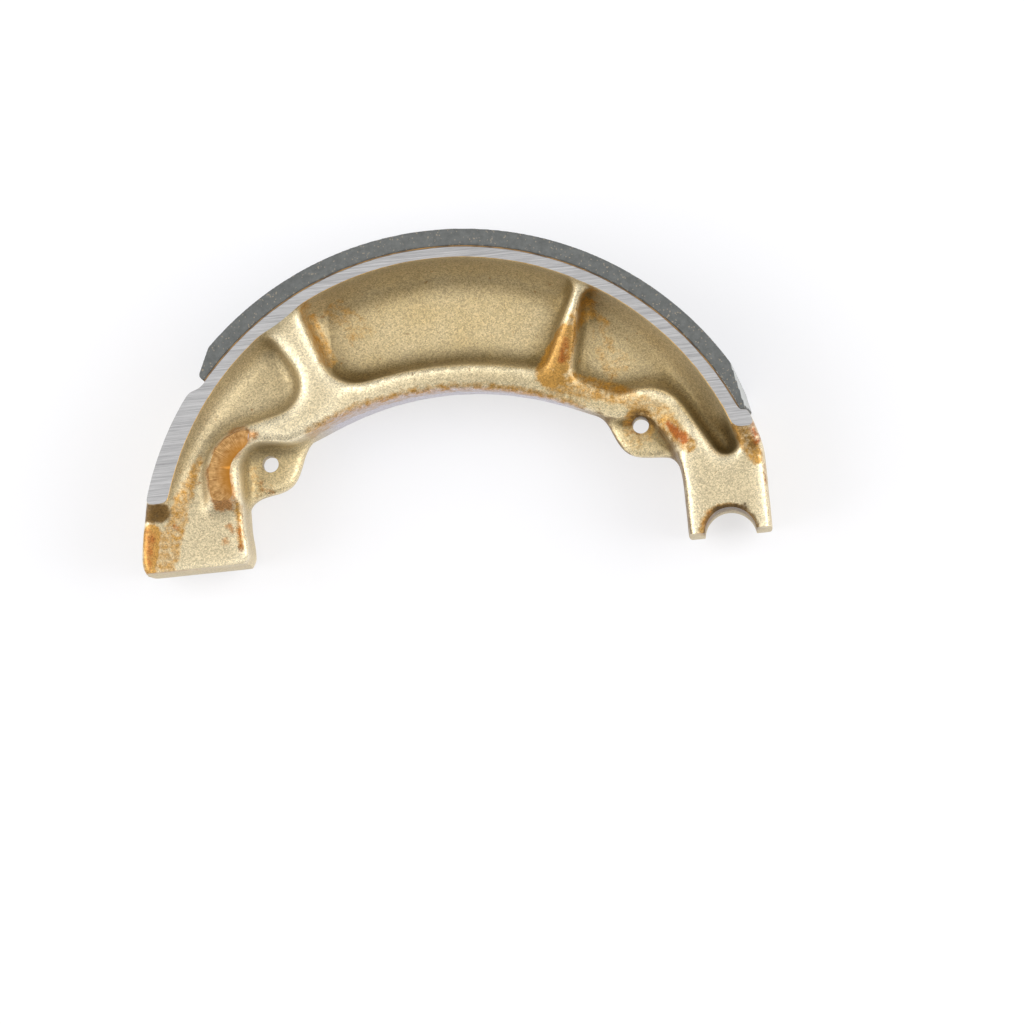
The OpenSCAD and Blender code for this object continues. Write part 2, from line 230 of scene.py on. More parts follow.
move_vertices(casting.data, np.stack([x, y, z], 1))
remesh(casting, skin_voxel)

edge_rounds, wide_rounds, finish_rounds = 9, 40, 3
soft = relaxed(casting.data, vertex_places(casting.data), edge_rounds)
move_vertices(casting.data, soft)
outward = vertex_normals(casting.data)

# How far each point stands out of its neighbourhood: ribs and lips above zero, corners below.
# The die is rounder in the corners than on the edges, so the corners are filled a little more.
wide = relaxed(casting.data, soft, wide_rounds)
relief_scale = 0.5 * mm
corner_fill = 1.2
standing = ((soft - wide) * outward).sum(1) / relief_scale
hollow = np.clip(-corner_fill * standing, 0, 1)
soft = soft + (wide - soft) * hollow[:, None]

# The inner rib and its shoulders are rounder still, but for the cam end, so their height is
# blended too, while their outline stays.
rib_rounding = 0.6
from_centre = np.hypot(soft[:, 0] - rim_inner_centre.x, soft[:, 1] - rim_inner_centre.y)
round_rib = (rib_rounding * ramp(from_centre, 56.5 * mm, -2 * mm)
             * ramp(soft[:, 1], 14 * mm, 3 * mm) * ramp(soft[:, 0], -87 * mm, 4 * mm))
soft[:, 2] += (wide[:, 2] - soft[:, 2]) * round_rib
soft = relaxed(casting.data, soft, finish_rounds)
move_vertices(casting.data, soft)

# The skin's colour follows the relief, with painted shade and dirt in the corners. On the cam side
# the corners are darkened less.
cam_side_x = -74 * mm
cam_side_corner_darkening = 0.35
standing = np.where((standing < 0) & (soft[:, 0] < cam_side_x), cam_side_corner_darkening * standing, standing)
relief = casting.data.attributes.new("relief", "FLOAT", "POINT")
relief.data.foreach_set("value", np.clip(standing, -1, 1).astype(np.float32))

# The die's surface is slightly uneven: long low swells and a shorter ripple.
swell_height, swell_length = 0.035, 5 * mm
ripple_height, ripple_length = 0.02, 1.6 * mm
outward = vertex_normals(casting.data)
swell = np.array([swell_height * noise.noise(Vector(p) / swell_length)
                  + ripple_height * noise.noise(Vector(p) / ripple_length) for p in soft]) * mm
move_vertices(casting.data, soft + outward * swell[:, None])


# Machining: the rim faces, the rubbed crescent, the cam's flat, the anchor end, the seat with its
# bevels and the spring holes are cut out of the soft casting, which leaves their edges sharp.
def machine(piece, cutter):
    cut = piece.modifiers.new("cut", "BOOLEAN")
    cut.operation = "DIFFERENCE"
    cut.solver = "MANIFOLD"
    cut.object = cutter
    apply_modifiers(piece)
    bpy.data.objects.remove(cutter)


def block_cutter(low, high):
    shape = bmesh.new()
    bmesh.ops.create_cube(shape, size=1)
    low, high = Vector(low), Vector(high)
    bmesh.ops.scale(shape, verts=shape.verts, vec=high - low)
    bmesh.ops.translate(shape, verts=shape.verts, vec=(low + high) / 2)
    return mesh_object("cutter", shape)


clear = 20 * mm
rubbed_margin = 0.8 * mm
low_corner, high_corner = (Vector(corner) for corner in cad_box)
for side in (1, -1):
    near, far = sorted((side * half_width, side * (half_width + clear)))
    machine(casting, block_cutter((low_corner.x - clear, low_corner.y - clear, near),
                                  (high_corner.x + clear, high_corner.y + clear, far)))
    patch = bmesh.new()
    near, far = sorted((side * rubbed_face_z, side * (half_width + clear)))
    add_prism(patch, rubbed_outline(rubbed_margin), near, far)
    machine(casting, mesh_object("cutter", patch))
machine(casting, block_cutter((low_corner.x - clear, -clear, -clear),
                              (drum_centre.x, cam_flat_y, clear)))
machine(casting, block_cutter((drum_centre.x, -clear, -clear),
                              (high_corner.x + clear, anchor_end_y, clear)))
bore = bmesh.new()
add_post(bore, (0, 0, 0), seat_radius, 2 * clear)
machine(casting, mesh_object("cutter", bore))
for side in (1, -1):
    countersink = bmesh.new()
    bmesh.ops.create_cone(countersink, cap_ends=True, segments=round_segments,
                          radius1=seat_radius - seat_bevel, radius2=seat_radius + 2 * seat_bevel,
                          depth=3 * seat_bevel,
                          matrix=Matrix.Translation((0, 0, side * (block_face_z - seat_bevel / 2)))
                          @ Matrix.Scale(side, 4, (0, 0, 1)))
    bmesh.ops.recalc_face_normals(countersink, faces=countersink.faces)
    machine(casting, mesh_object("cutter", countersink))
for place in spring_hole_places:
    drill = bmesh.new()
    add_post(drill, place, hole_radius, 2 * clear, round_segments // 2)
    machine(casting, mesh_object("cutter", drill))

# Stains on the upper side, as strokes in millimetres: x, y and radius at both ends, and how dense.
# A thin gilt line follows the hub side edge of the inner rib, brown lies in the pin's seat and the
# spring holes, and the brown stroke across the rim's end on the cam side is painted shade on the
# step's wall.
rib_arc_x, rib_arc_y, rib_arc_radius = -52.9, -26.2, 60.4
rib_arc = [(rib_arc_x + rib_arc_radius * math.cos(a), rib_arc_y + rib_arc_radius * math.sin(a))
           for a in np.radians(np.linspace(64, 116, 14))]
stains = {
    "gilt": [(-101.2, 25.3, 0.8, -105.9, 15.6, 2.0, 0.75),
             (-105.9, 15.6, 2.0, -109.7, 5.3, 2.2, 0.75),
             (-94.6, 15.4, 0.7, -94.9, 7.2, 0.6, 1), (-91.4, 22.5, 0.8, -91.4, 16.6, 0.9, 0.9),
             (-113.2, 15.7, 1.7, -109.2, 15.4, 1.6, 1), (-111.9, 11.6, 1.9, -112.9, 4.2, 1.2, 1.4),
             (-78.4, 53.7, 1.4, -74.5, 42.0, 1.6, 0.7), (-72.0, 51.5, 2.6, -68.0, 47.0, 3.0, 0.5),
             (-27.9, 41.9, 1.6, -22.3, 48.7, 1.8, 0.8), (-31.5, 35.0, 3.2, -27.9, 41.9, 2.2, 1.15),
             (-31.0, 33.5, 2.6, -19.0, 29.5, 2.2, 0.8), (-19.0, 29.5, 2.2, -10.5, 24.5, 2.0, 0.65),
             (-21.5, 42.0, 2.0, -19.0, 36.0, 3.2, 0.5),
             (-22.5, 46.0, 1.2, -19.4, 43.5, 0.6, 0.7), (-10.5, 23.1, 2.0, -6.3, 17.8, 1.6, 0.9),
             (-15.6, 23.4, 3.2, -16.2, 21.0, 2.8, 1.0), (3.6, 20.0, 1.8, 6.4, 14.6, 1.8, 0.95),
             (-0.6, 0, 5.7, -0.5, 0.3, 5.7, 1.1), (7.9, 13.0, 0.5, 8.1, 1.5, 0.4, 0.8),
             (-8.3, 12.5, 0.5, -8.4, 1.5, 0.5, 0.7), (-88.5, 17.5, 1.3, -90.9, 20.4, 1.4, 0.9)]
            + [(*a, 0.9, *b, 0.9, 0.8) for a, b in zip(rib_arc, rib_arc[1:])],
    "rust": [(-112.2, 11.4, 1.2, -112.9, 5.2, 0.6, 0.7),
             (-107.2, 12.4, 0.6, -107.0, 12.1, 0.5, 0.9),
             (-90.4, 20.6, 0.7, -88.6, 17.4, 0.9, 0.8), (-9.9, 22.6, 0.6, -7.2, 19.2, 1.0, 1.3),
             (-17.4, 23.4, 1.0, -16.8, 21.6, 1.0, 0.7), (6.2, 20.4, 0.7, 6.9, 17.4, 0.9, 0.9),
             (-4.8, 2.0, 0.7, -3.4, 4.3, 0.6, 0.9), (-28.9, 37.4, 1.1, -28.0, 41.0, 0.8, 0.8),
             (-94.9, 7.8, 0.4, -95.0, 6.6, 0.4, 0.9), (-94.6, 12.0, 0.5, -94.8, 9.4, 0.5, 0.8),
             (7.7, 12.5, 0.3, 7.9, 9.0, 0.3, 0.8)],
    "copper": [(-96.6, 11.3, 0.8, -96.2, 10.4, 0.6, 0.9), (-97.8, 8.7, 0.8, -97.3, 8.2, 0.5, 0.9),
               (-98.4, 15.6, 1.0, -96.2, 15.4, 1.0, 1.2), (-91.6, 28.6, 1.8, -90.2, 28.4, 1.2, 1),
               (-97.5, 22.0, 2.6, -97.2, 17.4, 2.6, 1), (-96.0, 25.6, 2.4, -92.8, 28.6, 2.2, 1)],
    # The first brown stroke is painted shade on the wall of the step at the cam end; the others
    # darken the seat and the spring holes.
    "dirt_and_painted_shade": [(-113.2, 15.7, 1.7, -109.3, 15.3, 1.6, 1.5), (0, 0, 5.5, 0.1, 0.3, 5.5, 1.5),
               (-15.3, 23.2, 2.0, -15.2, 23.3, 2.0, 1.2),
               (-88.1, 23.2, 1.8, -88.0, 23.3, 1.8, 1.0)],
    "grime": [(-95.3, 7.0, 0.4, -95.1, 6.7, 0.3, 0.9),
              (-6.5, 18.8, 0.3, -6.8, 12.1, 0.2, 0.7), (4.4, 19.2, 0.9, 5.6, 16.2, 0.9, 0.55),
              (-2.4, 4.9, 0.9, 3.2, 4.7, 0.9, 0.8), (-15.3, 23.2, 2.2, -15.2, 24.4, 2.0, 0.6)]}
stain_edge = 1.1
outer_wall_radius = 57
spots = vertex_places(casting.data) / mm
outer_wall = np.hypot(spots[:, 0] - drum_centre.x / mm, spots[:, 1]) > outer_wall_radius
run_down = np.where(outer_wall, ramp(spots[:, 2], 5, 6), ramp(spots[:, 2], 1, 3))
levels = {}
for stain, strokes in stains.items():
    level = np.zeros(len(spots))
    for x1, y1, r1, x2, y2, r2, density in strokes:
        start, run = np.array((x1, y1)), np.array((x2 - x1, y2 - y1))
        share = np.clip(((spots[:, :2] - start) @ run) / (run @ run), 0, 1)
        gap = np.linalg.norm(spots[:, :2] - start - share[:, None] * run, axis=1)
        spread = np.clip(0.5 + (r1 + (r2 - r1) * share - gap) / stain_edge, 0, 1)
        level = np.maximum(level, density * spread)
    levels[stain] = level * run_down

# The hub side wall gets a painted reflection at the crown: pale grey, as the pale floor would show
# in it at a grazing angle. It keeps the coat on the cam side and is painted brown toward the
# anchor, a painted shade.
hub_side_reach = 53
inward = np.stack([drum_centre.x / mm - spots[:, 0], -spots[:, 1], 0 * spots[:, 2]], 1)
reach = np.linalg.norm(inward, axis=1)
facing = (vertex_normals(casting.data) * inward).sum(1) / reach
hub_side = ramp(facing, 0.55, 1 / 3) * (reach < hub_side_reach)
anchor_side = ramp(spots[:, 0], -30, 8)
cam_side = ramp(spots[:, 0], -74, -6)
levels["pale_wall_reflection"] = hub_side * (1 - anchor_side) * (1 - cam_side)
levels["dirt_and_painted_shade"] = np.maximum(levels["dirt_and_painted_shade"], hub_side * anchor_side)
for name, level in levels.items():
    casting.data.attributes.new(name, "FLOAT", "POINT").data.foreach_set(
        "value", level.astype(np.float32))


def linear(colour):
    """Linear RGBA of an sRGB hex colour."""
    parts = [int(colour[k:k + 2], 16) / 255 for k in (1, 3, 5)]
    return [c / 12.92 if c <= 0.04045 else ((c + 0.055) / 1.055) ** 2.4 for c in parts] + [1]


def add(tree, kind, inputs=None, **settings):
    """Adds a node. An input's value is a number, a colour or another node's output."""
    node = tree.nodes.new(kind)
    for name, value in settings.items():
        setattr(node, name, value)
    for key, value in (inputs or {}).items():
        if isinstance(value, bpy.types.NodeSocket):
            tree.links.new(value, node.inputs[key])
        else:
            node.inputs[key].default_value = value
    return node


def new_material(name):
    material = bpy.data.materials.new(name)
    material.use_nodes = True
    material.node_tree.nodes.clear()
    return material, material.node_tree


# Chromate-coated die-cast skin: a thin sand-gold conversion coat over rough cast metal, so it
# shines softly and sparkles in grains of a fifth of a millimetre. It is paler on the ribs' edges,
# partly wear and partly a painted highlight, and olive-brown in the corners, partly dirt and coat
# collected there and partly painted shade. Rust and gilt stains lie on it.
cast_skin, tree = new_material("chromated_die_cast_skin")
place = add(tree, "ShaderNodeTexCoord").outputs["Object"]
grain_size = 0.22 * mm
cloud = add(tree, "ShaderNodeTexNoise", {"Vector": place, "Scale": 1 / (9 * mm), "Detail": 4,
                                         "Roughness": 0.6}).outputs["Fac"]
grain = add(tree, "ShaderNodeTexNoise", {"Vector": place, "Scale": 1 / (2 * grain_size),
                                         "Detail": 3, "Roughness": 0.75}).outputs["Fac"]
blotch = add(tree, "ShaderNodeTexNoise", {"Vector": place, "Scale": 1 / (1.4 * mm), "Detail": 3,
                                          "Roughness": 0.65}).outputs["Fac"]
flake = add(tree, "ShaderNodeTexVoronoi", {"Vector": place, "Scale": 1 / grain_size})
flake_value = add(tree, "ShaderNodeSeparateColor", {"Color": flake.outputs["Color"]})
standing_out = add(tree, "ShaderNodeAttribute", attribute_name="relief").outputs["Fac"]
# The relief sets the coat's tone: painted shade and dirt darken the corners, and a painted
# highlight and wear lighten the edges.
coat_tone = add(tree, "ShaderNodeMapRange", {"Value": standing_out, "From Min": -0.8,
                                             "From Max": 0.8}).outputs["Result"]
coat = add(tree, "ShaderNodeValToRGB", {"Fac": coat_tone})
coat.color_ramp.elements[0].position = 0.1
coat.color_ramp.elements[0].color = linear("#8A7C5C")
coat.color_ramp.elements[1].position = 0.85
coat.color_ramp.elements[1].color = linear("#EEE5CE")
middle = coat.color_ramp.elements.new(0.5)
middle.color = linear("#D0C5AB")
height = add(tree, "ShaderNodeSeparateXYZ", {"Vector": place}).outputs["Z"]
depth = add(tree, "ShaderNodeMath", {0: height}, operation="ABSOLUTE").outputs["Value"]
in_pocket = add(tree, "ShaderNodeMapRange", {"Value": depth, "From Min": 4 * mm,
                                             "From Max": 11 * mm, "To Min": 1,
                                             "To Max": 0}).outputs["Result"]
coat_tint = add(tree, "ShaderNodeMix", {0: in_pocket, 6: linear("#F6F0E2"),
                                        7: linear("#F0DFB4")}, data_type="RGBA").outputs[2]
clouded = add(tree, "ShaderNodeMix", {0: cloud, 6: coat_tint, 7: linear("#FFF9E9")},
              data_type="RGBA").outputs[2]
colour = add(tree, "ShaderNodeMix", {0: 1.0, 6: coat.outputs["Color"], 7: clouded},
             data_type="RGBA", blend_type="MULTIPLY").outputs[2]
# Painted reflection: a pale grey laid on the hub side wall at the crown.
wall_reflection_share = add(tree, "ShaderNodeAttribute", attribute_name="pale_wall_reflection").outputs["Fac"]
colour = add(tree, "ShaderNodeMix", {0: wall_reflection_share, 6: colour, 7: linear("#CBC7CF")},
             data_type="RGBA").outputs[2]
raggedness = 1.8
ragged = add(tree, "ShaderNodeMath", {0: blotch, 1: raggedness, 2: -raggedness / 2},
             operation="MULTIPLY_ADD")
# The brown stain is partly dirt and partly painted shade, on the hub side wall toward the anchor
# and on the step at the cam end.
for stain, tint in (("gilt", "#B6842F"), ("copper", "#B07B42"), ("rust", "#A2571C"),
                    ("dirt_and_painted_shade", "#73582F"), ("grime", "#4F3C22")):
    level = add(tree, "ShaderNodeAttribute", attribute_name=stain).outputs["Fac"]
    edge = add(tree, "ShaderNodeMath", {0: level, 1: ragged.outputs["Value"]}, operation="ADD")
    mask = add(tree, "ShaderNodeMapRange", {"Value": edge.outputs["Value"], "From Min": 0.3,
                                            "From Max": 1.0, "To Max": 0.9}).outputs["Result"]
    colour = add(tree, "ShaderNodeMix", {0: mask, 6: colour, 7: linear(tint)},
                 data_type="RGBA").outputs[2]
sparkle = add(tree, "ShaderNodeMapRange", {"Value": flake_value.outputs["Red"],
                                           "To Min": 0.66, "To Max": 1.24})
sparkled = add(tree, "ShaderNodeVectorMath", {0: colour, "Scale": sparkle.outputs["Result"]},
               operation="SCALE")
worn = add(tree, "ShaderNodeMapRange", {"Value": standing_out, "From Min": 0.1, "From Max": 0.8,
                                        "To Min": 0.0, "To Max": -0.1}).outputs["Result"]
dullness = add(tree, "ShaderNodeMapRange", {"Value": flake_value.outputs["Green"],
                                            "To Min": 0.34, "To Max": 0.58}).outputs["Result"]
satin = add(tree, "ShaderNodeMath", {0: dullness, 1: worn}, operation="ADD")
roughcast = add(tree, "ShaderNodeBump", {"Height": grain, "Strength": 0.7,
                                         "Distance": 0.07 * mm})
skin_shader = add(tree, "ShaderNodeBsdfPrincipled", {
    "Base Color": sparkled.outputs["Vector"], "Metallic": 0.6,
    "Roughness": satin.outputs["Value"], "Normal": roughcast.outputs["Normal"]})
add(tree, "ShaderNodeOutputMaterial", {"Surface": skin_shader.outputs["BSDF"]})

# Ground aluminium: bare metal cut by a belt that ran along the shoe's length, so fine straight
# lines of 0.1 to 0.3 mm run across the whole face, and it is grey and half bright.
ground_metal, tree = new_material("belt_ground_aluminium")
place = add(tree, "ShaderNodeTexCoord").outputs["Object"]
along = add(tree, "ShaderNodeMapping", {"Vector": place, "Rotation": (0, 0, math.radians(6)),
                                        "Scale": (0.02, 1, 1)}).outputs["Vector"]
lines = add(tree, "ShaderNodeTexNoise", {"Vector": along, "Scale": 1 / (0.22 * mm), "Detail": 6,
                                         "Roughness": 0.8}).outputs["Fac"]
line_tone = add(tree, "ShaderNodeValToRGB", {"Fac": lines})
line_tone.color_ramp.elements[0].position = 0.3
line_tone.color_ramp.elements[0].color = linear("#8B8A8B")
line_tone.color_ramp.elements[1].position = 0.7
line_tone.color_ramp.elements[1].color = linear("#D2D1D1")
scratches = add(tree, "ShaderNodeBump", {"Height": lines, "Strength": 0.5,
                                         "Distance": 0.02 * mm})
metal_shader = add(tree, "ShaderNodeBsdfPrincipled", {
    "Base Color": line_tone.outputs["Color"], "Metallic": 1.0, "Roughness": 0.42,
    "Normal": scratches.outputs["Normal"]})
add(tree, "ShaderNodeOutputMaterial", {"Surface": metal_shader.outputs["BSDF"]})

# Copper-coloured rubbed metal: where something has rubbed the rib flat, bare metal with fine
# scores across the crescent, and orange toward the spring hole. Its nearness is measured from
# the crescent's centre at the middle of the shoe's width.
orange_reach = (14.6 * mm, 15.6 * mm)
rubbed_metal, tree = new_material("rubbed_coppery_metal")
place = add(tree, "ShaderNodeTexCoord").outputs["Object"]
from_hole = add(tree, "ShaderNodeVectorMath", {0: place, 1: rubbed_arc_centre},
                operation="SUBTRACT").outputs["Vector"]
across = add(tree, "ShaderNodeSeparateXYZ", {"Vector": from_hole})
bearing = add(tree, "ShaderNodeMath", {0: across.outputs["Y"], 1: across.outputs["X"]},
              operation="ARCTAN2").outputs["Value"]
scores = add(tree, "ShaderNodeTexNoise", {"W": bearing, "Scale": 36, "Detail": 4,
                                          "Roughness": 0.8},
             noise_dimensions="1D").outputs["Fac"]
patches = add(tree, "ShaderNodeTexNoise", {"Vector": place, "Scale": 1 / (0.8 * mm),
                                           "Detail": 4}).outputs["Fac"]
score_tone = add(tree, "ShaderNodeMath", {0: scores, 1: patches}, operation="MULTIPLY")
copper_tone = add(tree, "ShaderNodeValToRGB", {"Fac": score_tone.outputs["Value"]})
copper_tone.color_ramp.elements[0].position = 0.1
copper_tone.color_ramp.elements[0].color = linear("#85582C")
copper_tone.color_ramp.elements[1].position = 0.42
copper_tone.color_ramp.elements[1].color = linear("#E2B679")
distance = add(tree, "ShaderNodeVectorMath", {0: from_hole}, operation="LENGTH")
nearness = add(tree, "ShaderNodeMapRange", {"Value": distance.outputs["Value"],
                                            "From Min": orange_reach[0],
                                            "From Max": orange_reach[1],
                                            "To Min": 1, "To Max": 0})
orange = add(tree, "ShaderNodeMix", {0: nearness.outputs["Result"],
                                     6: copper_tone.outputs["Color"], 7: linear("#AC7430")},
             data_type="RGBA").outputs[2]
score_bump = add(tree, "ShaderNodeBump", {"Height": scores, "Strength": 0.6,
                                          "Distance": 0.04 * mm})
copper_shader = add(tree, "ShaderNodeBsdfPrincipled", {
    "Base Color": orange, "Metallic": 1.0, "Roughness": 0.36,
    "Normal": score_bump.outputs["Normal"]})
add(tree, "ShaderNodeOutputMaterial", {"Surface": copper_shader.outputs["BSDF"]})

casting.data.materials.clear()
for finish in (cast_skin, ground_metal, rubbed_metal):
    casting.data.materials.append(finish)
same_level = 0.01 * mm
for face in casting.data.polygons:
    level = abs(face.center.z) if abs(face.normal.z) > parallel else 0
    face.material_index = (1 if abs(level - half_width) < same_level
                           else 2 if abs(level - rubbed_face_z) < same_level else 0)
    face.use_smooth = True
casting.data.set_sharp_from_angle(angle=math.radians(38))
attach(casting, "root")
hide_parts("shoe_casting")

# Grinding burr. The belt drew out a thin ragged lip of metal along the rim's inner edge, on both
# sides, and it keeps the coat's gold colour. Geometry nodes sweep an uneven wire along the edge.
burr_start, burr_sweep = math.radians(20.2), math.radians(143.1)
burr_metal, tree = new_material("gilt_burr")
place = add(tree, "ShaderNodeTexCoord").outputs["Object"]
burr_cloud = add(tree, "ShaderNodeTexNoise", {"Vector": place, "Scale": 1 / (1.5 * mm),
                                              "Detail": 3}).outputs["Fac"]
burr_tone = add(tree, "ShaderNodeMix", {0: burr_cloud, 6: linear("#A9762C"),
                                        7: linear("#F0D08A")}, data_type="RGBA").outputs[2]
burr_shader = add(tree, "ShaderNodeBsdfPrincipled", {"Base Color": burr_tone, "Metallic": 0.9,
                                                     "Roughness": 0.35})
add(tree, "ShaderNodeOutputMaterial", {"Surface": burr_shader.outputs["BSDF"]})

burr_nodes = bpy.data.node_groups.new("burr_along_edge", "GeometryNodeTree")
for name, value in (("Edge radius", rim_inner_radius), ("Height", half_width - 0.13 * mm),
                    ("Thickness", 0.11 * mm), ("Raggedness", 0.25 * mm), ("Seed", 7.0)):
    burr_nodes.interface.new_socket(name, in_out="INPUT",
                                    socket_type="NodeSocketFloat").default_value = value
burr_nodes.interface.new_socket("Geometry", in_out="OUTPUT", socket_type="NodeSocketGeometry")
given = add(burr_nodes, "NodeGroupInput").outputs
arc = add(burr_nodes, "GeometryNodeCurveArc", {
    "Resolution": 700, "Radius": given["Edge radius"], "Start Angle": burr_start,
    "Sweep Angle": burr_sweep})
here = add(burr_nodes, "GeometryNodeInputPosition").outputs["Position"]
tear = add(burr_nodes, "ShaderNodeTexNoise", {"Vector": here, "W": given["Seed"],
                                              "Scale": 1 / (0.9 * mm), "Detail": 3},
           noise_dimensions="4D")
shift = add(burr_nodes, "ShaderNodeVectorMath", {0: tear.outputs["Color"],
                                                 1: (0.5, 0.5, 0.5)}, operation="SUBTRACT")
flat_shift = add(burr_nodes, "ShaderNodeVectorMath", {0: shift.outputs["Vector"],
                                                      1: (1, 1, 0)}, operation="MULTIPLY")
sized_shift = add(burr_nodes, "ShaderNodeVectorMath", {0: flat_shift.outputs["Vector"],
                                                       "Scale": given["Raggedness"]},
                  operation="SCALE")
torn = add(burr_nodes, "GeometryNodeSetPosition", {"Geometry": arc.outputs["Curve"],
                                                   "Offset": sized_shift.outputs["Vector"]})
swell_share = add(burr_nodes, "ShaderNodeMapRange", {"Value": tear.outputs["Fac"],
                                                     "From Min": 0.35, "From Max": 0.65,
                                                     "To Min": 0.15, "To Max": 1.0})
wire = add(burr_nodes, "GeometryNodeSetCurveRadius", {"Curve": torn.outputs["Geometry"],
                                                      "Radius": swell_share.outputs["Result"]})
profile = add(burr_nodes, "GeometryNodeCurvePrimitiveCircle", {"Resolution": 5,
                                                               "Radius": given["Thickness"]})
lip = add(burr_nodes, "GeometryNodeCurveToMesh", {"Curve": wire.outputs["Curve"],
                                                  "Profile Curve": profile.outputs["Curve"],
                                                  "Fill Caps": True})
sides = add(burr_nodes, "GeometryNodeJoinGeometry")
for way in (1, -1):
    lift = add(burr_nodes, "ShaderNodeCombineXYZ", {
        "X": rim_inner_centre.x, "Y": rim_inner_centre.y,
        "Z": add(burr_nodes, "ShaderNodeMath", {0: given["Height"], 1: way},
                 operation="MULTIPLY").outputs["Value"]})
    placed = add(burr_nodes, "GeometryNodeTransform", {"Geometry": lip.outputs["Mesh"],
                                                       "Translation": lift.outputs["Vector"]})
    burr_nodes.links.new(placed.outputs["Geometry"], sides.inputs["Geometry"])
real = add(burr_nodes, "GeometryNodeRealizeInstances", {"Geometry": sides.outputs["Geometry"]})
finished = add(burr_nodes, "GeometryNodeSetMaterial", {"Geometry": real.outputs["Geometry"],
                                                       "Material": burr_metal})
group_output = add(burr_nodes, "NodeGroupOutput")
burr_nodes.links.new(finished.outputs["Geometry"], group_output.inputs["Geometry"])

burr = mesh_object("grinding_burr", bmesh.new())
burr.modifiers.new("burr", "NODES").node_group = burr_nodes
apply_modifiers(burr)
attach(burr, "root")

# Friction lining. A strip of resin-bonded friction composite, moulded to the rim's curve, glued
# on and ground round on its outer face. It is dark grey with pale fibre and brass specks, and
# its edges are slightly chipped.
lining_radius = 64.5 * mm
lining_voxel = 0.42 * mm
chip_size, chip_level, chip_depth = 0.9 * mm, 0.45, 0.35
lining = mesh_object("lining", merged_copy("friction_lining"))
remesh(lining, lining_voxel)
places = relaxed(lining.data, vertex_places(lining.data), 1)
outward = vertex_normals(lining.data)
chips = np.array([max(0, noise.noise(Vector(p) / chip_size) - chip_level) for p in places])
places -= outward * (chips * chip_depth * mm)[:, None]
places[:, 2] = np.clip(places[:, 2], -half_width, half_width)
move_vertices(lining.data, places)

# The long chamfer's fresh cut is paler, with dust in its tooth.
chamfer_bearings = (22.8, 31)
chamfer_radius = lining_radius - 0.15 * mm
middles = np.array([face.center for face in lining.data.polygons]) - np.array(drum_centre)
radii = np.linalg.norm(middles[:, :2], axis=1)
turned = np.degrees(np.arctan2(middles[:, 1], middles[:, 0]))
upright = np.abs(np.array([face.normal.z for face in lining.data.polygons])) > 0.8
fresh_cut = ((chamfer_bearings[0] < turned) & (turned < chamfer_bearings[1])
             & (radii < chamfer_radius) & ~upright)
lining.data.attributes.new("scuffed", "FLOAT", "FACE").data.foreach_set(
    "value", fresh_cut.astype(np.float32))

# Friction composite: resin, rubber, fibre and brass chips pressed and cured, then ground, so it
# is dull all over, mottled in clouds of about a millimetre, with specks of a quarter of one.
speck_size = 0.24 * mm
composite, tree = new_material("friction_composite")
place = add(tree, "ShaderNodeTexCoord").outputs["Object"]
mottle = add(tree, "ShaderNodeTexNoise", {"Vector": place, "Scale": 1 / (1.2 * mm), "Detail": 5,
                                          "Roughness": 0.7}).outputs["Fac"]
speck = add(tree, "ShaderNodeTexVoronoi", {"Vector": place, "Scale": 1 / speck_size})
speck_kind = add(tree, "ShaderNodeSeparateColor", {"Color": speck.outputs["Color"]})
tone = add(tree, "ShaderNodeValToRGB", {"Fac": mottle})
tone.color_ramp.elements[0].position = 0.3
tone.color_ramp.elements[0].color = linear("#525453")
tone.color_ramp.elements[1].position = 0.75
tone.color_ramp.elements[1].color = linear("#6A6C6A")
pale = add(tree, "ShaderNodeMath", {0: speck_kind.outputs["Red"], 1: 0.955},
           operation="GREATER_THAN")
specked = add(tree, "ShaderNodeMix", {0: pale.outputs["Value"], 6: tone.outputs["Color"],
                                      7: linear("#857D70")}, data_type="RGBA").outputs[2]
scuffed = add(tree, "ShaderNodeAttribute", attribute_name="scuffed").outputs["Fac"]
dusted = add(tree, "ShaderNodeMix", {0: scuffed, 6: specked, 7: linear("#B4B6B4")},
             data_type="RGBA").outputs[2]
tooth = add(tree, "ShaderNodeBump", {"Height": mottle, "Strength": 0.5, "Distance": 0.08 * mm})
composite_shader = add(tree, "ShaderNodeBsdfPrincipled", {
    "Base Color": dusted, "Roughness": 0.82, "Normal": tooth.outputs["Normal"]})
add(tree, "ShaderNodeOutputMaterial", {"Surface": composite_shader.outputs["BSDF"]})
lining.data.materials.append(composite)
for face in lining.data.polygons:
    face.use_smooth = True
lining.data.set_sharp_from_angle(angle=math.radians(50))
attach(lining, "root")
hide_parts("friction_lining")

# Bonding film. The heat-cured adhesive between the rim and the lining, which shows as a thin
# brown line on both faces. It keeps the solid's own shape and gets only its resin colour, brown
# and slightly glossy.
adhesive, tree = new_material("cured_adhesive_resin")
place = add(tree, "ShaderNodeTexCoord").outputs["Object"]
streaks = add(tree, "ShaderNodeTexNoise", {"Vector": place, "Scale": 1 / (2.5 * mm),
                                           "Detail": 4}).outputs["Fac"]
resin = add(tree, "ShaderNodeValToRGB", {"Fac": streaks})
resin.color_ramp.elements[0].position = 0.35
resin.color_ramp.elements[0].color = linear("#5A4630")
resin.color_ramp.elements[1].position = 0.65
resin.color_ramp.elements[1].color = linear("#A07A45")
resin_shader = add(tree, "ShaderNodeBsdfPrincipled", {
    "Base Color": resin.outputs["Color"], "Roughness": 0.45})
add(tree, "ShaderNodeOutputMaterial", {"Surface": resin_shader.outputs["BSDF"]})
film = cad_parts["bond_film"]
film.data.materials.clear()
film.data.materials.append(adhesive)

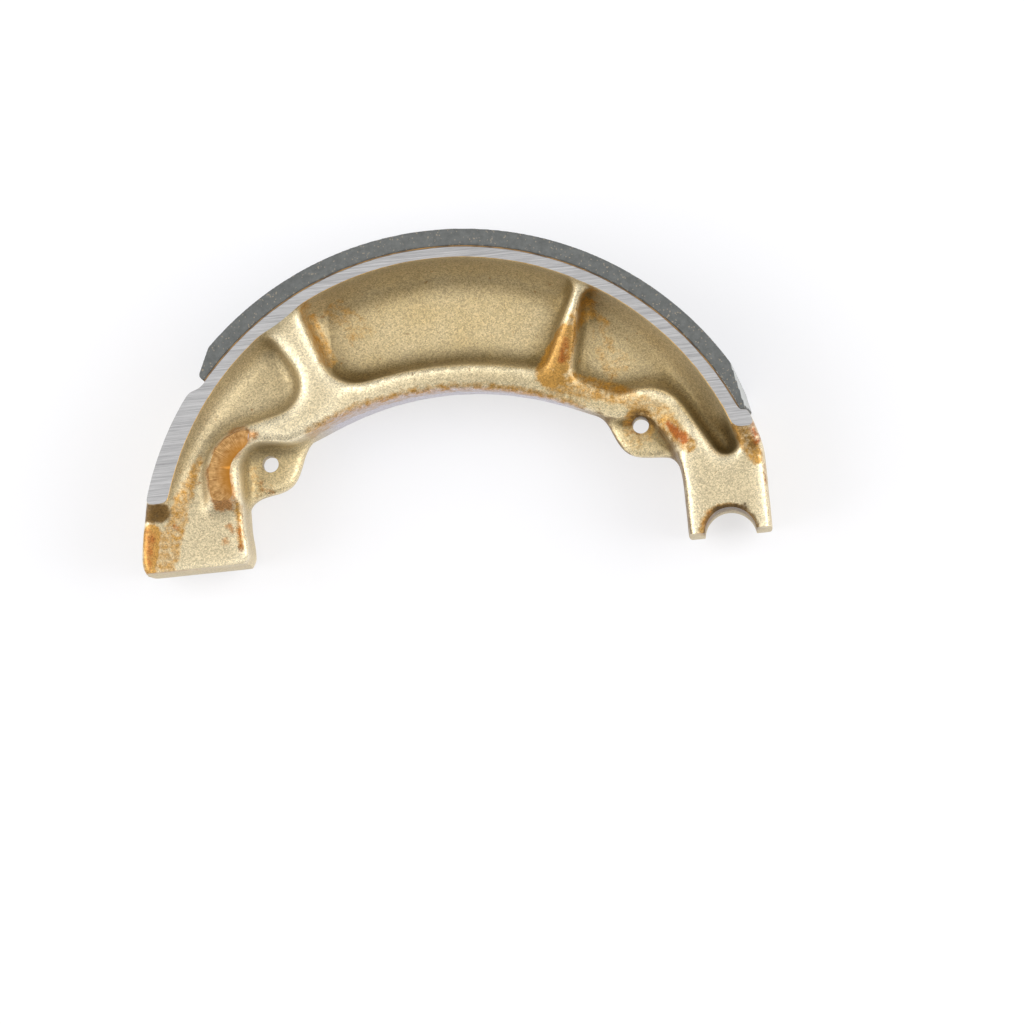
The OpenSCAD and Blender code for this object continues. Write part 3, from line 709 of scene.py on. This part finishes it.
# Studio. A plain pale floor under the shoe, a soft box on each side and a dim one overhead, and
# the camera high above at the photograph's angle. The floor's own colour is partly lit by
# itself, for the camera and for reflections, so it stays pale and keeps the shoe's shadow.
floor_size = 3
floor_glow = 0.6
floor_shape = bmesh.new()
bmesh.ops.create_grid(floor_shape, x_segments=1, y_segments=1, size=floor_size,
                      matrix=Matrix.Translation((drum_centre.x, 0, -half_width)))
floor = mesh_object("floor", floor_shape)
pale_matt, tree = new_material("pale_matt_floor")
ray = add(tree, "ShaderNodeLightPath").outputs
seen = ray["Is Camera Ray"]
for kind in ("Is Glossy Ray", "Is Transmission Ray"):
    seen = add(tree, "ShaderNodeMath", {0: seen, 1: ray[kind]},
               operation="MAXIMUM").outputs["Value"]
glowing = add(tree, "ShaderNodeMath", {0: seen, 1: floor_glow},
              operation="MULTIPLY").outputs["Value"]
matt = add(tree, "ShaderNodeBsdfDiffuse", {"Color": linear("#F6F6F8")})
glow = add(tree, "ShaderNodeEmission", {"Color": linear("#FBFBFD"), "Strength": 1.0})
floor_mix = add(tree, "ShaderNodeMixShader", {0: glowing, 1: matt.outputs["BSDF"],
                                              2: glow.outputs["Emission"]})
add(tree, "ShaderNodeOutputMaterial", {"Surface": floor_mix.outputs["Shader"]})
floor.data.materials.append(pale_matt)

lit_centre = Vector((-52, 30, 0)) * mm
side_box_size, side_box_power = 1.1, 10.5
top_box_size, top_box_power = 1.5, 5


def soft_box(name, place, size, power):
    lamp = bpy.data.lights.new(name, "AREA")
    lamp.shape = "SQUARE"
    lamp.size = size
    lamp.energy = power
    holder = bpy.data.objects.new(name, lamp)
    holder.location = lit_centre + Vector(place)
    holder.rotation_euler = (-Vector(place)).to_track_quat("-Z", "Y").to_euler()
    bpy.context.scene.collection.objects.link(holder)


soft_box("left_soft_box", (-1.1, 0.05, 1.05), side_box_size, side_box_power)
soft_box("right_soft_box", (1.1, 0.05, 1.05), side_box_size, side_box_power)
soft_box("top_soft_box", (0, 0, 1.7), top_box_size, top_box_power)

# The room is brighter to the left and right than in front and behind, so walls that face the
# sides are lighter, and the camera sees plain white past the floor.
world = bpy.data.worlds.new("studio")
bpy.context.scene.world = world
world.use_nodes = True
tree = world.node_tree
tree.nodes.clear()
to_camera = add(tree, "ShaderNodeLightPath").outputs["Is Camera Ray"]
way = add(tree, "ShaderNodeTexCoord").outputs["Generated"]
way_parts = add(tree, "ShaderNodeSeparateXYZ", {"Vector": way})
sideways = add(tree, "ShaderNodeMath", {0: way_parts.outputs["X"]}, operation="ABSOLUTE")
room_light = add(tree, "ShaderNodeMapRange", {"Value": sideways.outputs["Value"],
                                              "From Min": 0.15, "From Max": 0.85,
                                              "To Min": 0.2, "To Max": 1.2}).outputs["Result"]
room = add(tree, "ShaderNodeBackground", {"Color": linear("#FFFFFF"), "Strength": room_light})
backdrop = add(tree, "ShaderNodeBackground", {"Color": linear("#FFFFFF"), "Strength": 1.0})
surround = add(tree, "ShaderNodeMixShader", {0: to_camera,
                                             1: room.outputs["Background"],
                                             2: backdrop.outputs["Background"]})
add(tree, "ShaderNodeOutputWorld", {"Surface": surround.outputs["Shader"]})

# The camera's place and aim are measured from the drum's centre. Its picture is level along a
# line that is turned a little from the shoe's length.
photo_size = 1024
focal_length_px = 6613.6
camera_place = Vector((53.3, -67.6, 1290.2)) * mm
aim_place = Vector((9.6, 10.0, -14)) * mm
level_way = Vector((0.9945, -0.1045, 0))
camera_data = bpy.data.cameras.new("camera")
camera_data.sensor_width = 36
camera_data.lens = focal_length_px * camera_data.sensor_width / photo_size
camera_data.clip_end = 10
camera = bpy.data.objects.new("camera", camera_data)
camera.location = drum_centre + camera_place
back = (camera.location - (drum_centre + aim_place)).normalized()
right = (level_way - level_way.dot(back) * back).normalized()
camera.rotation_euler = Matrix((right, back.cross(right), back)).transposed().to_euler()
bpy.context.scene.collection.objects.link(camera)
bpy.context.scene.camera = camera
bpy.context.scene.view_settings.view_transform = "Standard"
